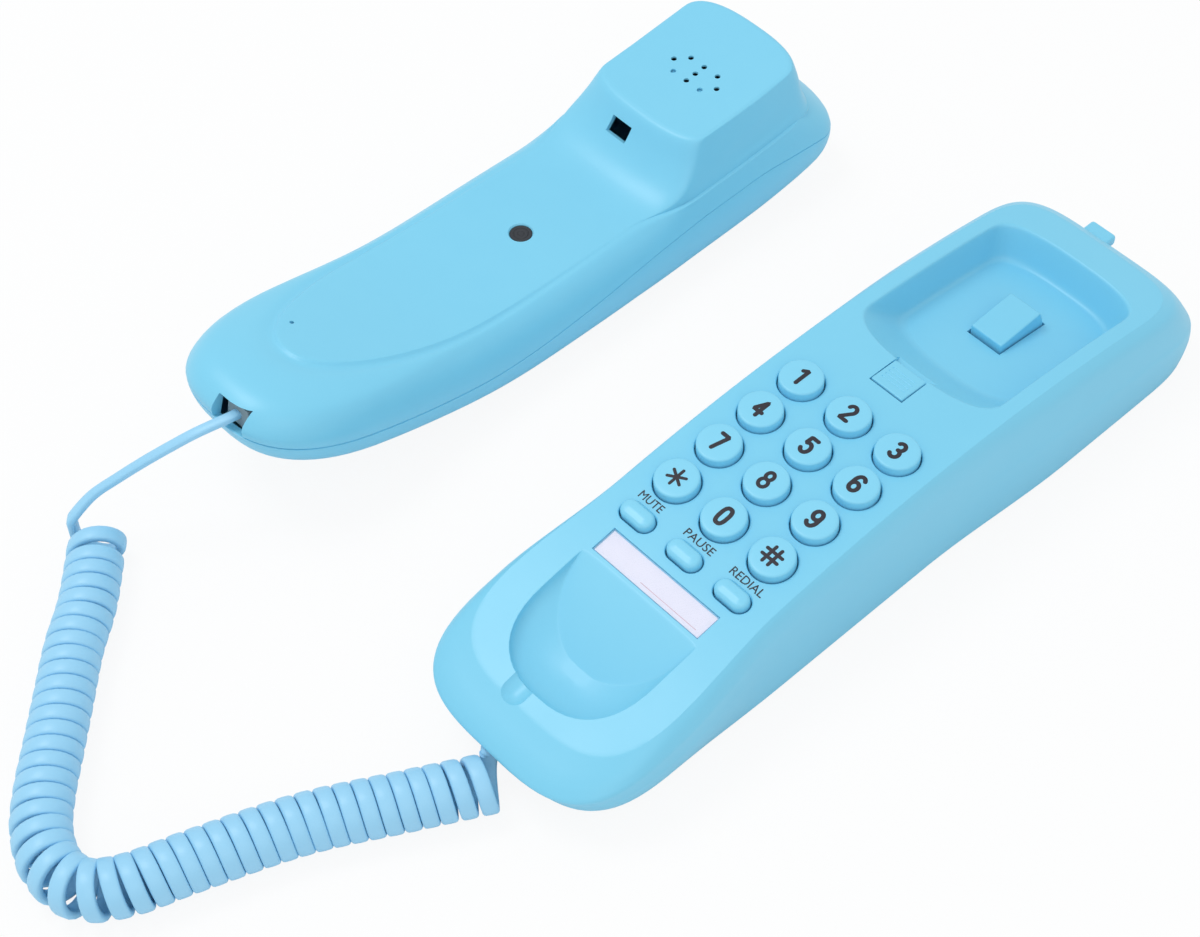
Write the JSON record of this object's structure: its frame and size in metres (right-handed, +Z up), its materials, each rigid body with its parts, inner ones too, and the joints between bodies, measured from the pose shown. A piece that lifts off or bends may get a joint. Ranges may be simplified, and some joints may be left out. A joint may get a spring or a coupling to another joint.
{
  "type": "corded telephone",
  "caption": "Compact light-blue corded telephone: slim humped base with keypad and hook button, and a curved handset off the hook beside it on a curly cord.",
  "frame": {"origin": "middle of the base's footprint, on the table", "axes": "+X across the base from key 1 to key 3, +Y along the base towards its ear end, +Z up from the table; the handset lies at -X"},
  "size_m": [0.1666, 0.3149, 0.0412],
  "materials": {
    "housing": "light sky-blue moulded ABS, satin gloss",
    "cord": "light blue PVC, soft sheen",
    "rubber_black": "black rubber",
    "steel": "plated steel",
    "weight_steel": "rolled steel",
    "circuit_board": "solder-masked glass-epoxy",
    "key_rubber": "grey silicone",
    "dark_plastic": "dark moulded plastic",
    "card": "blank white card",
    "clear_plastic": "clear polycarbonate",
    "brass_disc": "brass sounder plate",
    "plug_black": "black push-in disc"
  },
  "bodies": {
    "base": {"base_top_cover": "housing", "base_bottom_cover": "housing", "rubber_feet": "rubber_black", "base_screws": "steel", "main_board": "circuit_board", "board_screws": "steel", "keypad_mat": "key_rubber", "hook_pin": "steel", "hook_spring": "steel", "hook_switch": "dark_plastic", "index_card": "card", "card_window": "clear_plastic", "ringer": "brass_disc", "base_cord_jack": "dark_plastic", "line_jack": "dark_plastic", "base_plug": "clear_plastic", "cord_tail": "cord", "cord_coil": "cord", "cord_lead": "cord"},
    "key_1_cap": {"key_1": "housing"},
    "key_2_cap": {"key_2": "housing"},
    "key_3_cap": {"key_3": "housing"},
    "key_4_cap": {"key_4": "housing"},
    "key_5_cap": {"key_5": "housing"},
    "key_6_cap": {"key_6": "housing"},
    "key_7_cap": {"key_7": "housing"},
    "key_8_cap": {"key_8": "housing"},
    "key_9_cap": {"key_9": "housing"},
    "key_star_cap": {"key_star": "housing"},
    "key_0_cap": {"key_0": "housing"},
    "key_hash_cap": {"key_hash": "housing"},
    "key_mute_cap": {"key_mute": "housing"},
    "key_pause_cap": {"key_pause": "housing"},
    "key_redial_cap": {"key_redial": "housing"},
    "hook": {"hook_button": "housing"},
    "hanger": {"hanger_tab": "housing"},
    "handset": {"handset_front_shell": "housing", "handset_back_shell": "housing", "receiver_capsule": "dark_plastic", "microphone_capsule": "steel", "handset_weight": "weight_steel", "handset_jack": "dark_plastic", "handset_screw": "steel", "screw_plug": "plug_black", "handset_plug": "clear_plastic"}
  },
  "joints": [
    {"name": "key_1_press", "type": "slide", "parent": "base", "child": "key_1_cap", "axis": [0, 0, -1], "range_m": [0, 0.0012], "stiffness_N_per_m": 400, "springref_m": -0.001},
    {"name": "key_2_press", "type": "slide", "parent": "base", "child": "key_2_cap", "axis": [0, 0, -1], "range_m": [0, 0.0012], "stiffness_N_per_m": 400, "springref_m": -0.001},
    {"name": "key_3_press", "type": "slide", "parent": "base", "child": "key_3_cap", "axis": [0, 0, -1], "range_m": [0, 0.0012], "stiffness_N_per_m": 400, "springref_m": -0.001},
    {"name": "key_4_press", "type": "slide", "parent": "base", "child": "key_4_cap", "axis": [0, 0, -1], "range_m": [0, 0.0012], "stiffness_N_per_m": 400, "springref_m": -0.001},
    {"name": "key_5_press", "type": "slide", "parent": "base", "child": "key_5_cap", "axis": [0, 0, -1], "range_m": [0, 0.0012], "stiffness_N_per_m": 400, "springref_m": -0.001},
    {"name": "key_6_press", "type": "slide", "parent": "base", "child": "key_6_cap", "axis": [0, 0, -1], "range_m": [0, 0.0012], "stiffness_N_per_m": 400, "springref_m": -0.001},
    {"name": "key_7_press", "type": "slide", "parent": "base", "child": "key_7_cap", "axis": [0, 0, -1], "range_m": [0, 0.0012], "stiffness_N_per_m": 400, "springref_m": -0.001},
    {"name": "key_8_press", "type": "slide", "parent": "base", "child": "key_8_cap", "axis": [0, 0, -1], "range_m": [0, 0.0012], "stiffness_N_per_m": 400, "springref_m": -0.001},
    {"name": "key_9_press", "type": "slide", "parent": "base", "child": "key_9_cap", "axis": [0, 0, -1], "range_m": [0, 0.0012], "stiffness_N_per_m": 400, "springref_m": -0.001},
    {"name": "key_star_press", "type": "slide", "parent": "base", "child": "key_star_cap", "axis": [0, 0, -1], "range_m": [0, 0.0012], "stiffness_N_per_m": 400, "springref_m": -0.001},
    {"name": "key_0_press", "type": "slide", "parent": "base", "child": "key_0_cap", "axis": [0, 0, -1], "range_m": [0, 0.0012], "stiffness_N_per_m": 400, "springref_m": -0.001},
    {"name": "key_hash_press", "type": "slide", "parent": "base", "child": "key_hash_cap", "axis": [0, 0, -1], "range_m": [0, 0.0012], "stiffness_N_per_m": 400, "springref_m": -0.001},
    {"name": "key_mute_press", "type": "slide", "parent": "base", "child": "key_mute_cap", "axis": [0, 0, -1], "range_m": [0, 0.0012], "stiffness_N_per_m": 400, "springref_m": -0.001},
    {"name": "key_pause_press", "type": "slide", "parent": "base", "child": "key_pause_cap", "axis": [0, 0, -1], "range_m": [0, 0.0012], "stiffness_N_per_m": 400, "springref_m": -0.001},
    {"name": "key_redial_press", "type": "slide", "parent": "base", "child": "key_redial_cap", "axis": [0, 0, -1], "range_m": [0, 0.0012], "stiffness_N_per_m": 400, "springref_m": -0.001},
    {"name": "hook_swing", "type": "hinge", "parent": "base", "child": "hook", "pos_m": [0, 0.0571, 0.01902], "axis": [-1, 0, 0], "range_deg": [0, 14], "stiffness_Nm_per_rad": 0.03, "springref_deg": -8.59, "deforming": ["hook_spring"]},
    {"name": "hanger_slide", "type": "slide", "parent": "base", "child": "hanger", "axis": [0, 1, 0], "range_m": [0, 0.008]},
    {"name": "handset_lift", "type": "slide", "parent": "base", "child": "handset", "axis": [0, 0, 1], "range_m": [0, 0.15]}
  ]
}
